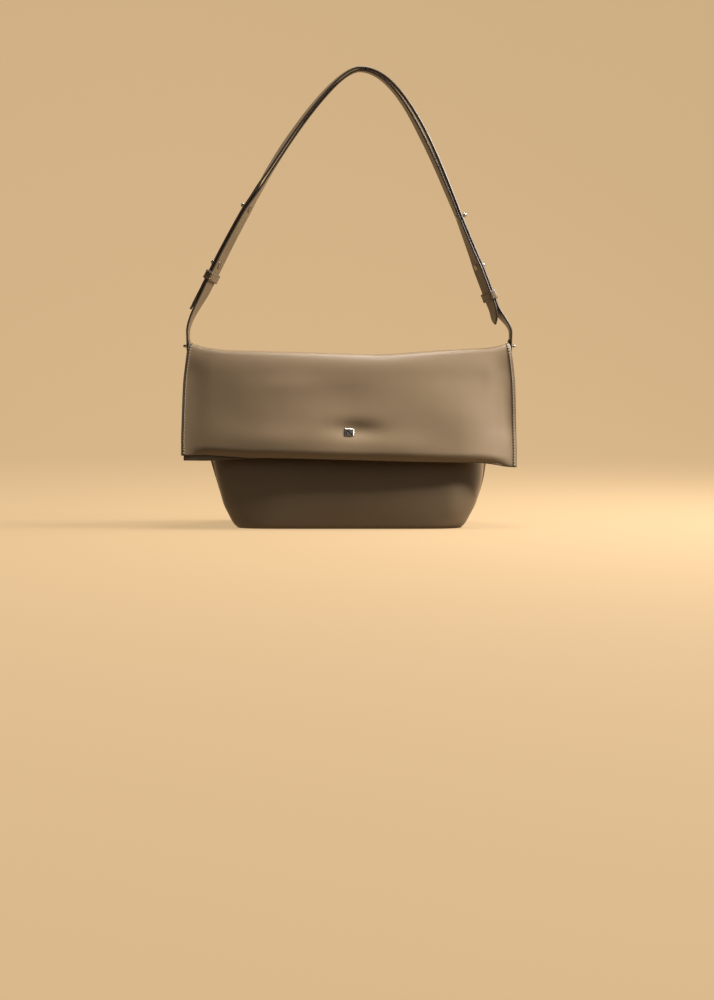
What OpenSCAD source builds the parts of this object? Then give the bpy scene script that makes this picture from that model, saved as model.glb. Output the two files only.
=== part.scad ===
// Fold-over shoulder bag in smooth leather.
// Two panels are sewn together at the sides and stand on a boxed base. Their upper part folds
// over to the front as the flap, so the pouch's mouth is at the flap's lower edge. A two-layer
// strap joined by ball studs arches over the bag and hangs from tabs at the fold's two ends.
// Frame: X to the right, Y to the back, Z up, origin at the middle of the base's underside.

/* [Pouch] */
// Width across the pouch at its fold, seam edges included
pouch_w = 330; // [300:1:350]
// Width across the base
base_w = 248; // [200:1:280]
// Depth of the base, front to back
base_d = 100; // [70:1:130]
// Height of the line that the flap folds about
fold_z = 166; // [150:1:185]
// Squareness of the section at the base
base_square = 7; // [5:0.5:9]
// Squareness of the section at the fold
fold_square = 4; // [3:0.5:6]
// Length of the upright side edge below the fold
side_edge = 21; // [15:1:30]
// Rounding of the walls' lower edge
foot_round = 2.5; // [1.5:0.5:4]

/* [Leather] */
// Thickness of the body leather
leather_t = 1.4; // [1:0.1:1.8]
// Thickness of the lining
lining_t = 0.6; // [0.4:0.1:0.8]
// Width of the sewn edge outside the side seam, on the flap and at the fold
seam_w = 4; // [3:0.5:6]
// Width of the sewn edge at the base
seam_foot_w = 1.5; // [1:0.5:3]
// Thickness of the base panel
base_t = 2; // [1.5:0.5:3]
// Thickness of the stiff board on the base
board_t = 2; // [1:0.5:4]

/* [Fold] */
// Gap between the body and the folded flap at the fold
fold_gap = 6; // [4:0.5:9]
// Gap between the two walls where they pass through the fold
neck_gap = 6.2; // [6:0.2:9]

/* [Flap] */
// Greatest width of the flap
flap_w = 340; // [332:1:350]
// Drop of the flap's outer layer below the fold line
flap_drop = 92; // [80:1:105]
// How much lower the flap's inner layer ends
inner_drop = 5.5; // [2:0.5:9]
// Lean of the flap away from the pouch's belly, on top of the belly's own lean
flap_lean = 3.1; // [3:0.1:6]
// How far the outer layer swells away from the middle of the flap
flap_swell = 3; // [0:0.5:6]
// How far the flap's side edges bend back towards the pouch
flap_wrap = 5; // [0:0.5:7]
// How much higher the fold stands at its two ends, as a share of its radius
ear_rise = 0.6; // [0:0.1:0.7]

/* [Snap and badge] */
// Height of the snap and of the badge above the base
snap_z = 97; // [88:1:110]
// Diameter of the snap's two discs
snap_d = 18; // [14:1:20]
// Thickness of the socket's disc
socket_t = 2.4; // [2:0.1:2.6]
// Diameter of the snap's nub
nub_d = 4.4; // [3:0.2:6]
// Width of the plain badge
badge_w = 9; // [7:0.5:14]
// Height of the plain badge
badge_h = 8; // [6:0.5:12]
// Thickness of the badge
badge_t = 1.2; // [0.8:0.2:2]

/* [Strap] */
// Width of the strap
strap_w = 19; // [15:0.5:22]
// Thickness of each strap layer
strap_t = 2.3; // [1.8:0.1:2.8]
// Height of the two anchors that the strap swings about
anchor_z = 185.5; // [183:0.5:189]
// Height of the arch's highest point, between the two layers
arch_z = 468; // [440:1:490]
// Sideways place of the arch's highest point
arch_x = 11; // [0:1:15]
// Height of the left keeper
left_keeper_z = 257; // [252:1:260]
// Distance of the left limb from the middle, at its keeper
left_keeper_x = 143.8; // [140:0.2:147]
// Lean of the left limb from the vertical, at its keeper
left_lean = 27; // [26:0.5:28]
// Height of the right keeper
right_keeper_z = 237; // [235:1:241]
// Distance of the right limb from the middle, at its keeper
right_keeper_x = 145.3; // [142:0.1:148]
// Lean of the right limb from the vertical, at its keeper
right_lean = 21.3; // [19:0.1:23]
// Length of each loose tail below its keeper
tail_l = 34; // [20:1:38]
// Distance from the left keeper's middle up to the lower stud
left_stud_up = 14; // [13:0.5:15]
// Distance from the right keeper's middle up to the lower stud
right_stud_up = 32.5; // [28:0.5:36]

/* [Keepers and studs] */
// Length of a keeper along the strap
keeper_l = 9.5; // [7:0.5:11]
// Thickness of a keeper's leather
keeper_t = 1.5; // [1:0.1:2]
// Running gap between a keeper and the strap
keeper_gap = 0.25; // [0.2:0.05:0.5]
// Diameter of a stud's ball
ball_d = 4.8; // [4:0.2:6]
// Diameter of a stud's flange and of its screw's head
flange_d = 6.8; // [5.5:0.2:8]
// Diameter of a stud's sleeve
sleeve_d = 3.6; // [3:0.1:4]
// Thickness of the side tabs
tab_t = 1.4; // [1:0.1:1.8]
// Width of the side tabs at the anchors
tab_w = 14; // [12:0.5:16]

/* [Hidden] */

// Clearances
lining_gap = 0.02;   // between the leather and its lining
layer_gap = 0.1;     // between the two strap layers
pivot_gap = 0.15;    // on each side of the strap's end at an anchor
bore_gap = 0.05;     // radial, round a stud's sleeve
flap_gap = 0.4;      // between the flap's upper side edges and the side tabs
seat_gap = 0.1;      // under a flat disc that sits on a curved panel
hole_gap = 0.1;      // round a shank that passes through leather or lining

// Shape of the flap's side edges and of its middle line, as drops below the fold line
flare_from = 9;
flare_l = 9;
taper_from = 65;
taper_l = 30;
hem_taper = 2;
lean_run = 10;

// Fold radii, from the middle of the two walls
wall_h = leather_t + neck_gap / 2;
fold_r = fold_gap / 2 + wall_h;
// Depths of the lining's two surfaces under the leather's outer surface
lining_in = leather_t + lining_gap;
wall_t = lining_in + lining_t;

// Sampling of the curved sheets
SIDE_STEPS = 22;     // across a panel
FOLD_STEPS = 10;     // round the half turn of the fold
BODY_STEPS = 11;     // down the pouch, above the foot's rounding
FLAP_STEPS = 9;      // down the flap

LEATHER = [0.47, 0.40, 0.31];
LEATHER_DARK = [0.30, 0.25, 0.20];
LINING = [0.36, 0.30, 0.24];
BOARD = [0.25, 0.22, 0.19];
METAL = [0.62, 0.62, 0.61];

// ---------------------------------------------------------------- curves

function ease(x) = x <= 0 ? 0 : x >= 1 ? 1 : x * x * (3 - 2 * x);
function along(a, b, t) = a + (b - a) * t;

// Drop below the fold line, and its share of the whole pouch
function share(w) = w / fold_z;

// Half width of the pouch with its seam edges, w below the fold line
function pouch_half(w) =
    let (u = max(0, w - side_edge) / (fold_z - side_edge))
    along(pouch_w / 2, base_w / 2, 0.3 * u + 0.7 * pow(u, 1.15));
// Half depth of the pouch
function pouch_depth(w) = wall_h + (base_d / 2 - wall_h) * pow(sin(90 * share(w)), 1.2);
// The side seam lies behind the base's middle at the fold and over it at the base
function seam_y(w) = fold_r * (1 - pow(share(w), 2));
// Squareness of the section
function square_at(w) = fold_square + (base_square - fold_square) * pow(share(w), 3);
// Rounding of the lower edge, h above the base panel
function foot_inset(h) =
    h >= foot_round ? 0 : foot_round - sqrt(pow(foot_round, 2) - pow(foot_round - h, 2));

// Width of the sewn edge down the pouch
function seam_at(w) = along(seam_w, seam_foot_w, ease((share(w) - 0.4) / 0.4));

// Front of the pouch's wall, and its lean from the fold line down to the snap
function front_y(w) = seam_y(w) - pouch_depth(w);
snap_drop = fold_z - snap_z;
belly_lean = atan((front_y(0) - front_y(snap_drop)) / snap_drop);

// Half width of the flap with its seam edges: clear of the side tabs at the top, then flared,
// and drawn in a little towards the hem
function flap_half(w) =
    pouch_w / 2 - flap_gap
    + (flap_w / 2 - pouch_w / 2 + flap_gap) * ease((w - flare_from) / flare_l)
    - hem_taper * ease((w - taper_from) / taper_l);
// Middle of the flap, between its two layers
function flap_y(w) = -fold_r - tan(belly_lean + flap_lean) * w * w / (w + lean_run);
// Half depth of the flap's outer layer, swollen below the middle of its drop
function flap_depth(w) =
    wall_h + flap_swell * sin(140 * min(1, w / flap_drop));
function flap_bend(w) = flap_wrap * w / flap_drop;

// ---------------------------------------------------------------- sheets

// Point i across a wall's section at depth t under its outer surface, as [x, distance from
// the seam plane]. The section is a superellipse with a flat sewn edge outside its ends.
function wall_point(half, h, square, t, seam, i) =
    let (
        edge = seam > 0,
        k = edge ? i - 1 : i,
        turn = 180 * min(SIDE_STEPS, max(0, k)) / SIDE_STEPS,
        c = cos(turn),
        x = -sign(c) * pow(abs(c), 2 / square) * (half - t),
        rise = pow(abs(sin(turn)), 2 / square),
        off = max(0, leather_t - t) + (h - max(t, leather_t)) * rise
    )
    edge && i == 0 ? [-half - seam, leather_t - t]
    : edge && i == SIDE_STEPS + 2 ? [half + seam, leather_t - t]
    : [x, off];

function point_count(edge) = SIDE_STEPS + (edge ? 3 : 1);

// One surface of a sheet: rows down the sheet, points across it
function body_surface(side, t, edge, drops) = [
    for (w = drops)
        let (inset = foot_inset(fold_z - base_t - w))
        [
            for (i = [0 : point_count(edge) - 1])
                let (p = wall_point(pouch_half(w) - seam_at(w) - inset, pouch_depth(w) - inset,
                                    square_at(w), t, edge ? seam_at(w) : 0, i))
                [p[0], seam_y(w) + side * p[1], fold_z - w]
        ]
];
function fold_surface(side, t, edge) = [
    for (j = [0 : FOLD_STEPS])
        [
            for (i = [0 : point_count(edge) - 1])
                let (
                    a = 180 * j / FOLD_STEPS,
                    p = wall_point(pouch_w / 2 - seam_w, wall_h, fold_square, t, edge ? seam_w : 0, i),
                    r = fold_r + side * p[1],
                    rise = 1 + ear_rise * pow(p[0] / (pouch_w / 2), 8)
                )
                [p[0], r * cos(a), fold_z + rise * r * sin(a)]
        ]
];
// side 1 is the outer layer, side -1 the inner one that lies on the pouch
function flap_surface(side, t, edge, drops) = [
    for (w = drops)
        [
            for (i = [0 : point_count(edge) - 1])
                let (
                    half = flap_half(w) - seam_w,
                    h = side > 0 ? flap_depth(w) : wall_h,
                    p = wall_point(half, h, fold_square, t, edge ? seam_w : 0, i)
                )
                [p[0], flap_y(w) + flap_bend(w) * pow(p[0] / half, 2) - side * p[1], fold_z - w]
        ]
];

// Closed solid between an outer surface p and an inner surface q of the same grid
module sheet(p, q, flip) {
    rows = len(p);
    cols = len(p[0]);
    inner = rows * cols;
    function at(j, i) = j * cols + i;
    quads = concat(
        [for (j = [0 : rows - 2], i = [0 : cols - 2])
            [at(j, i), at(j, i + 1), at(j + 1, i + 1), at(j + 1, i)]],
        [for (j = [0 : rows - 2], i = [0 : cols - 2])
            [inner + at(j, i), inner + at(j + 1, i), inner + at(j + 1, i + 1), inner + at(j, i + 1)]],
        [for (i = [0 : cols - 2])
            [at(0, i + 1), at(0, i), inner + at(0, i), inner + at(0, i + 1)]],
        [for (i = [0 : cols - 2])
            [at(rows - 1, i), at(rows - 1, i + 1),
             inner + at(rows - 1, i + 1), inner + at(rows - 1, i)]],
        [for (j = [0 : rows - 2])
            [at(j, 0), at(j + 1, 0), inner + at(j + 1, 0), inner + at(j, 0)]],
        [for (j = [0 : rows - 2])
            [at(j + 1, cols - 1), at(j, cols - 1),
             inner + at(j, cols - 1), inner + at(j + 1, cols - 1)]]
    );
    faces = [for (f = quads) each [[f[0], f[1], f[2]], [f[0], f[2], f[3]]]];
    polyhedron(
        points = concat([for (row = p) each row], [for (row = q) each row]),
        faces = flip ? [for (f = faces) [f[2], f[1], f[0]]] : faces,
        convexity = 4
    );
}

body_drops = concat(
    [for (k = [0 : BODY_STEPS]) (fold_z - base_t - foot_round) * k / BODY_STEPS],
    [for (h = [0.3, 0]) fold_z - base_t - h * foot_round]
);
outer_flap_drops = [for (k = [0 : FLAP_STEPS]) flap_drop * k / FLAP_STEPS];
inner_flap_drops = concat(outer_flap_drops, [flap_drop + inner_drop]);

module body_sheet(side, t0, t1) {
    edge = t0 < leather_t;
    sheet(body_surface(side, t0, edge, body_drops), body_surface(side, t1, edge, body_drops),
          side > 0);
}
module fold_sheet(side, t0, t1) {
    edge = t0 < leather_t;
    sheet(fold_surface(side, t0, edge), fold_surface(side, t1, edge), side < 0);
}
module flap_sheet(side, t0, t1) {
    edge = t0 < leather_t;
    drops = side > 0 ? outer_flap_drops : inner_flap_drops;
    sheet(flap_surface(side, t0, edge, drops), flap_surface(side, t1, edge, drops), side < 0);
}

// ---------------------------------------------------------------- places on the panels

function flap_front_y(w) = flap_y(w) - flap_depth(w);
function flap_back_y(w) = flap_y(w) + wall_h;
// Lean of a surface, as its run to the front for each millimetre of drop
front_lean = atan((front_y(snap_drop - 1) - front_y(snap_drop + 1)) / 2);
flap_front_lean = atan((flap_front_y(snap_drop - 1) - flap_front_y(snap_drop + 1)) / 2);
flap_back_lean = atan((flap_back_y(snap_drop - 1) - flap_back_y(snap_drop + 1)) / 2);

// Local +Z out of the pouch's front panel, out of the flap's front, and from the flap's back
module on_front() {
    translate([0, front_y(snap_drop), snap_z]) rotate([90 - front_lean, 0, 0]) children();
}
module on_flap_front() {
    translate([0, flap_front_y(snap_drop), snap_z]) rotate([90 - flap_front_lean, 0, 0]) children();
}
module on_flap_back() {
    translate([0, flap_back_y(snap_drop), snap_z]) rotate([-90 - flap_back_lean, 0, 0]) children();
}

washer_t = 0.5;
shank_r = 2;
pin_r = 0.75;
pin_x = badge_w / 4;
hole_depth = 3 * wall_t;     // long enough to pass the wall at its lean
disc_t = 1.3;
nub_l = 1.3;

module shank_hole(r) {
    translate([0, 0, -hole_depth / 2]) cylinder(r = r + hole_gap, h = hole_depth, $fn = 32);
}
module front_snap_hole() {
    on_front() shank_hole(shank_r);
}
module flap_snap_hole() {
    on_flap_back() shank_hole(shank_r);
}
module badge_pin_holes() {
    for (x = [-pin_x, pin_x]) on_flap_front() translate([x, 0, 0]) shank_hole(pin_r);
}

// ---------------------------------------------------------------- pouch

module back_panel() {
    color(LEATHER) body_sheet(1, 0, leather_t);
}
module front_panel() {
    color(LEATHER) difference() {
        body_sheet(-1, 0, leather_t);
        front_snap_hole();
    }
}
module back_lining() {
    color(LINING) body_sheet(1, lining_in, wall_t);
}
module front_lining() {
    color(LINING) difference() {
        body_sheet(-1, lining_in, wall_t);
        front_snap_hole();
    }
}

// Outline of the pouch at its foot, t inside the walls' outer surface
module foot_outline(t) {
    w = fold_z - base_t;
    half = pouch_half(w) - seam_at(w) - foot_round;
    h = pouch_depth(w) - foot_round;
    points = [for (i = [0 : SIDE_STEPS]) wall_point(half, h, square_at(w), t, 0, i)];
    polygon(concat(
        [for (p = points) [p[0], seam_y(w) - p[1]]],
        [for (i = [SIDE_STEPS : -1 : 0]) [points[i][0], seam_y(w) + points[i][1]]]
    ));
}
module base_panel() {
    color(LEATHER) linear_extrude(base_t) foot_outline(0);
}
module base_board() {
    color(BOARD) translate([0, 0, base_t]) linear_extrude(board_t) foot_outline(wall_t + seat_gap);
}
module base_lining() {
    color(LINING) translate([0, 0, base_t + board_t]) linear_extrude(lining_t)
        foot_outline(wall_t + seat_gap);
}

// ---------------------------------------------------------------- fold

module fold_outer() {
    color(LEATHER) fold_sheet(1, 0, leather_t);
}
module fold_inner() {
    color(LEATHER) fold_sheet(-1, 0, leather_t);
}
module fold_lining() {
    color(LINING) for (side = [-1, 1]) fold_sheet(side, lining_in, wall_t);
}

// ---------------------------------------------------------------- flap

module flap_outer() {
    color(LEATHER) difference() {
        flap_sheet(1, 0, leather_t);
        badge_pin_holes();
    }
}
module flap_inner() {
    color(LEATHER) difference() {
        flap_sheet(-1, 0, leather_t);
        flap_snap_hole();
    }
}
module flap_lining() {
    color(LINING) difference() {
        flap_sheet(1, lining_in, wall_t);
        badge_pin_holes();
    }
    color(LINING) difference() {
        flap_sheet(-1, lining_in, wall_t);
        flap_snap_hole();
    }
}

// ---------------------------------------------------------------- snap and badge

module snap_washer() {
    translate([0, 0, -wall_t - seat_gap - washer_t]) difference() {
        cylinder(d = snap_d - 3, h = washer_t, $fn = 48);
        translate([0, 0, -washer_t]) cylinder(r = shank_r + hole_gap, h = 3 * washer_t, $fn = 32);
    }
}
// A disc with a shank through the wall, its end spread over the washer
module snap_half(thick) {
    shank_l = wall_t + seat_gap + washer_t;
    translate([0, 0, seat_gap]) cylinder(d = snap_d, h = thick, $fn = 48);
    translate([0, 0, -shank_l]) cylinder(r = shank_r, h = shank_l + seat_gap + thick / 2, $fn = 32);
    translate([0, 0, -shank_l - washer_t]) cylinder(r = shank_r + 0.7, h = washer_t, $fn = 32);
}
module snap_socket() {
    color(METAL) on_front() difference() {
        snap_half(socket_t);
        translate([0, 0, seat_gap + socket_t - nub_l - 0.4])
            cylinder(d = nub_d + 1.4, h = nub_l + 1, $fn = 48);
    }
}
module snap_socket_washer() {
    color(METAL) on_front() snap_washer();
}
module snap_stud() {
    color(METAL) on_flap_back() union() {
        snap_half(disc_t);
        translate([0, 0, seat_gap + disc_t / 2]) cylinder(d = nub_d, h = nub_l + disc_t / 2, $fn = 48);
    }
}
module snap_stud_washer() {
    color(METAL) on_flap_back() snap_washer();
}

// Rounded rectangle in the badge's plane
module badge_outline(inset, r) {
    w = badge_w / 2 - inset - r;
    h = badge_h / 2 - inset - r;
    square([2 * w, 2 * (h + r)], center = true);
    square([2 * (w + r), 2 * h], center = true);
    for (x = [-w, w], y = [-h, h]) translate([x, y]) circle(r = r, $fn = 24);
}
module badge_plate() {
    pin_l = wall_t + seat_gap + washer_t;
    color(METAL) on_flap_front() union() {
        translate([0, 0, seat_gap]) linear_extrude(badge_t * 0.7) badge_outline(0, 1.2);
        translate([0, 0, seat_gap]) linear_extrude(badge_t) badge_outline(0.5, 0.8);
        for (x = [-pin_x, pin_x]) translate([x, 0, -pin_l])
            cylinder(r = pin_r, h = pin_l + seat_gap + badge_t / 2, $fn = 24);
    }
}
module badge_washer() {
    color(METAL) on_flap_front() translate([0, 0, -wall_t - seat_gap - washer_t]) difference() {
        linear_extrude(washer_t) badge_outline(0.3, 1);
        for (x = [-pin_x, pin_x]) translate([x, 0, -washer_t])
            cylinder(r = pin_r + hole_gap, h = 3 * washer_t, $fn = 24);
    }
}

// ---------------------------------------------------------------- side tabs and anchors

tab_x = pouch_w / 2;
strap_in_x = tab_x + tab_t + pivot_gap;          // inner face of a strap's end
strap_out_x = strap_in_x + strap_t;
stud_x = strap_out_x + pivot_gap;                // seat of an anchor stud's flange
anchor_grip = stud_x - tab_x;                    // from the screw's head to the flange
tab_grip_w = seam_w - 0.3;                       // how far a tab's legs reach over the seam edge
strap_y = fold_r;                                // the strap stands over the side seams

// Right-hand tab: a leather piece folded round the seam's edge and carried up to the anchor
module side_tab() {
    foot_z = fold_z - side_edge;
    leg_y = leather_t + seat_gap + 0.05;
    rotate([90, 0, 90]) translate([0, 0, tab_x]) linear_extrude(tab_t) difference() {
        union() {
            translate([strap_y, anchor_z]) circle(d = tab_w, $fn = 64);
            polygon([
                [strap_y - tab_w / 2, anchor_z], [strap_y - leg_y - tab_t, fold_z],
                [strap_y - leg_y - tab_t, foot_z], [strap_y + leg_y + tab_t, foot_z],
                [strap_y + leg_y + tab_t, fold_z], [strap_y + tab_w / 2, anchor_z]
            ]);
        }
        translate([strap_y, anchor_z]) circle(r = sleeve_d / 2 + bore_gap, $fn = 48);
    }
    for (s = [-1, 1])
        translate([tab_x - tab_grip_w, strap_y + s * (leg_y + tab_t / 2) - tab_t / 2, foot_z])
            cube([tab_grip_w, tab_t, fold_z - foot_z]);
}
module side_tab_left() {
    color(LEATHER) mirror([1, 0, 0]) side_tab();
}
module side_tab_right() {
    color(LEATHER) side_tab();
}

head_t = 0.9;
screw_r = 1.05;
sleeve_wall_end = 0.5;

// Ball stud, local +Z outwards, its flange seated at z = 0 and its sleeve reaching down by grip
module ball_stud(grip) {
    difference() {
        union() {
            translate([0, 0, -grip]) cylinder(d = sleeve_d, h = grip, $fn = 48);
            cylinder(d = flange_d, h = 0.8, $fn = 48);
            cylinder(d = ball_d * 0.6, h = ball_d * 0.7, $fn = 32);
            translate([0, 0, 0.8 + ball_d * 0.55]) sphere(d = ball_d, $fn = 32);
        }
        translate([0, 0, -grip - 1]) cylinder(r = screw_r + bore_gap, h = grip + 1 - sleeve_wall_end, $fn = 32);
    }
}
// Slotted screw that closes the stud from the other side
module stud_screw(grip) {
    difference() {
        union() {
            translate([0, 0, -grip - head_t]) cylinder(d = flange_d, h = head_t, $fn = 48);
            translate([0, 0, -grip - head_t / 2])
                cylinder(r = screw_r, h = grip - sleeve_wall_end - 0.5 + head_t / 2, $fn = 32);
        }
        translate([-flange_d, -0.4, -grip - head_t - 1]) cube([2 * flange_d, 0.8, 1.4]);
    }
}
module at_right_anchor() {
    translate([stud_x, strap_y, anchor_z]) rotate([0, 90, 0]) children();
}
module anchor_stud_left() {
    color(METAL) mirror([1, 0, 0]) at_right_anchor() ball_stud(anchor_grip);
}
module anchor_stud_right() {
    color(METAL) at_right_anchor() ball_stud(anchor_grip);
}
module anchor_screws() {
    color(METAL) for (m = [0, 1]) mirror([m, 0, 0]) at_right_anchor() stud_screw(anchor_grip);
}

// ---------------------------------------------------------------- strap

// The path runs between the two layers, in the strap's middle plane. Each point is [x, z, normal x, normal z],
// with the normal on the outer side. side is -1 on the left and 1 on the right.
half_gap = layer_gap / 2;
left_anchor_x = -(strap_out_x + half_gap);       // the inner layer hangs from the left anchor
right_anchor_x = strap_in_x - half_gap;          // the outer layer hangs from the right anchor
left_below = 16;                                 // straight length of a limb below its keeper
right_below = 9;
left_above = 18;                                 // and above it
right_above = 41;
function limb_dir(lean, side) = [-side * sin(lean), cos(lean)];
left_dir = limb_dir(left_lean, -1);
right_dir = limb_dir(right_lean, 1);
left_keeper = [-left_keeper_x, left_keeper_z];
right_keeper = [right_keeper_x, right_keeper_z];
left_low = left_keeper - left_below * left_dir;
left_high = left_keeper + left_above * left_dir;
right_low = right_keeper - right_below * right_dir;
right_high = right_keeper + right_above * right_dir;
arch_top = [arch_x, arch_z];

function bezier(a, b, c, d, t) =
    pow(1 - t, 3) * a + 3 * pow(1 - t, 2) * t * b + 3 * (1 - t) * t * t * c + pow(t, 3) * d;
function bezier_dir(a, b, c, d, t) =
    let (v = pow(1 - t, 2) * (b - a) + 2 * (1 - t) * t * (c - b) + t * t * (d - c)) v / norm(v);
// The path is walked from left to right over the top, so its outer side is on the left hand
function with_normal(p, v) = [p[0], p[1], -v[1], v[0]];
function bezier_path(a, b, c, d, steps, from) = [
    for (k = [from : steps]) with_normal(bezier(a, b, c, d, k / steps), bezier_dir(a, b, c, d, k / steps))
];

// Each end runs straight past its tab before it bends into the limb
up = [0, 1];
end_r = strap_w / 2;
end_straight = 4;
left_foot = [left_anchor_x, anchor_z + end_r + end_straight];
right_foot = [right_anchor_x, anchor_z + end_r + end_straight];
left_rise = bezier_path(left_foot, left_foot + 6 * up, left_low - 8 * left_dir, left_low, 8, 0);
right_fall = bezier_path(right_low, right_low - 8 * right_dir, right_foot + 10 * up, right_foot, 8, 1);

// Handles of the arch's two halves, at the limbs and at the top
left_reach = 100;
right_reach = 110;
left_crest_reach = 30;
right_crest_reach = 45;
left_crest = arch_top - [left_crest_reach, 0];
right_crest = arch_top + [right_crest_reach, 0];
left_shoulder = left_high + left_reach * left_dir;
right_shoulder = right_high + right_reach * right_dir;
left_arch = bezier_path(left_high, left_shoulder, left_crest, arch_top, 18, 0);
right_arch = bezier_path(arch_top, right_crest, right_shoulder, right_high, 18, 1);
left_tail = with_normal(left_keeper - (keeper_l / 2 + tail_l) * left_dir, left_dir);
right_tail = with_normal(right_keeper - (keeper_l / 2 + tail_l - 10) * right_dir, -right_dir);
left_end = with_normal([left_anchor_x, anchor_z - end_r], up);
right_end = with_normal([right_anchor_x, anchor_z - end_r], -up);

inner_path = concat([left_end], left_rise, left_arch, right_arch, [right_tail]);
outer_path = concat([left_tail], left_arch, right_arch, [with_normal(right_low, -right_dir)],
                    right_fall, [right_end]);

// Side view of a layer between two distances from the path
module band(path, low, high) {
    polygon(concat(
        [for (p = path) [p[0] + high * p[2], p[1] + high * p[3]]],
        [for (i = [len(path) - 1 : -1 : 0])
            [path[i][0] + low * path[i][2], path[i][1] + low * path[i][3]]]
    ));
}
module strap_band(path, low, high) {
    rotate([90, 0, 0]) translate([0, 0, -strap_y - strap_w / 2])
        linear_extrude(strap_w) band(path, low, high);
}
// Local +Z along a path point's normal, at the path
module at_path(p) {
    translate([p[0], strap_y, p[1]]) rotate([0, atan2(p[2], p[3]), 0]) children();
}
// What lies past a strap's round end: local X runs back along the strap, and mirrored at the other
// end. The round is a little fuller than the strap is wide, so it meets the edges in a clear corner.
module end_cut(p, sense) {
    r = end_r + 0.2;
    at_path(p) translate([sense * r, 0, 0]) difference() {
        translate([sense > 0 ? -2 * r : 0, -2 * r, -2 * strap_t]) cube([2 * r, 4 * r, 4 * strap_t]);
        translate([0, 0, -3 * strap_t]) cylinder(r = r, h = 6 * strap_t, $fn = 64);
    }
}

// The lower stud sits on the straight limb, the upper one a short way up the arch
left_studs = [
    with_normal(left_keeper + left_stud_up * left_dir, left_dir),
    bezier_path(left_high, left_shoulder, left_crest, arch_top, 5, 1)[0]
];
right_studs = [
    with_normal(right_keeper + right_stud_up * right_dir, -right_dir),
    bezier_path(arch_top, right_crest, right_shoulder, right_high, 7, 6)[0]
];
stud_seat = 0.1;                                 // lets a flat flange clear the bent strap
strap_grip = 2 * (strap_t + stud_seat) + layer_gap;
stud_base = half_gap + strap_t + stud_seat;

module stud_bores() {
    for (p = concat(left_studs, right_studs))
        at_path(p) translate([0, 0, -2 * strap_t])
            cylinder(r = sleeve_d / 2 + bore_gap, h = 4 * strap_t, $fn = 48);
}
module anchor_bore(side) {
    translate([side * tab_x, strap_y, anchor_z]) rotate([0, side * 90, 0])
        cylinder(r = sleeve_d / 2 + bore_gap, h = 4 * strap_t, $fn = 48);
}
module strap_inner() {
    color(LEATHER_DARK) difference() {
        strap_band(inner_path, -half_gap - strap_t, -half_gap);
        stud_bores();
        anchor_bore(-1);
        end_cut(left_end, 1);
        end_cut(right_tail, -1);
    }
}
module strap_outer() {
    color(LEATHER_DARK) difference() {
        strap_band(outer_path, half_gap, half_gap + strap_t);
        stud_bores();
        anchor_bore(1);
        end_cut(left_tail, 1);
        end_cut(right_end, -1);
    }
}
module strap_stud(p) {
    color(METAL) at_path(p) translate([0, 0, stud_base]) ball_stud(strap_grip);
}
module strap_screws() {
    color(METAL) for (p = concat(left_studs, right_studs))
        at_path(p) translate([0, 0, stud_base]) stud_screw(strap_grip);
}

// ---------------------------------------------------------------- keepers

// Leather loop round both layers, local X along the strap and local Z across its thickness
module keeper(p) {
    hole_w = strap_w + 2 * keeper_gap;
    hole_h = strap_grip + 2 * keeper_gap;
    at_path(p) rotate([0, 90, 0]) translate([0, 0, -keeper_l / 2]) linear_extrude(keeper_l)
        difference() {
            union() {
                square([hole_h, hole_w + 2 * keeper_t], center = true);
                square([hole_h + 2 * keeper_t, hole_w], center = true);
                for (x = [-hole_h / 2, hole_h / 2], y = [-hole_w / 2, hole_w / 2])
                    translate([x, y]) circle(r = keeper_t, $fn = 24);
            }
            square([hole_h, hole_w], center = true);
        }
}
module keeper_left() {
    color(LEATHER) keeper(with_normal(left_keeper, left_dir));
}
module keeper_right() {
    color(LEATHER) keeper(with_normal(right_keeper, -right_dir));
}

back_panel();
front_panel();
base_panel();
base_board();
base_lining();
back_lining();
front_lining();
fold_outer();
fold_inner();
fold_lining();
flap_outer();
flap_inner();
flap_lining();
badge_plate();
badge_washer();
snap_socket();
snap_socket_washer();
snap_stud();
snap_stud_washer();
side_tab_left();
side_tab_right();
anchor_stud_left();
anchor_stud_right();
anchor_screws();
strap_inner();
strap_outer();
strap_stud(left_studs[0]);  // strap_stud_left_lower
strap_stud(left_studs[1]);  // strap_stud_left_upper
strap_stud(right_studs[0]);  // strap_stud_right_lower
strap_stud(right_studs[1]);  // strap_stud_right_upper
strap_screws();
keeper_left();
keeper_right();
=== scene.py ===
# Fold-over shoulder bag in smooth taupe leather.
# Sections follow the bag as it is put together: pouch walls, base, flap and fold, linings, side
# stitching, badge and snap, side tabs and anchors, strap, strap studs, keepers, then the studio.
# Working sizes are in millimetres and become metres where a mesh is made.

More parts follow.
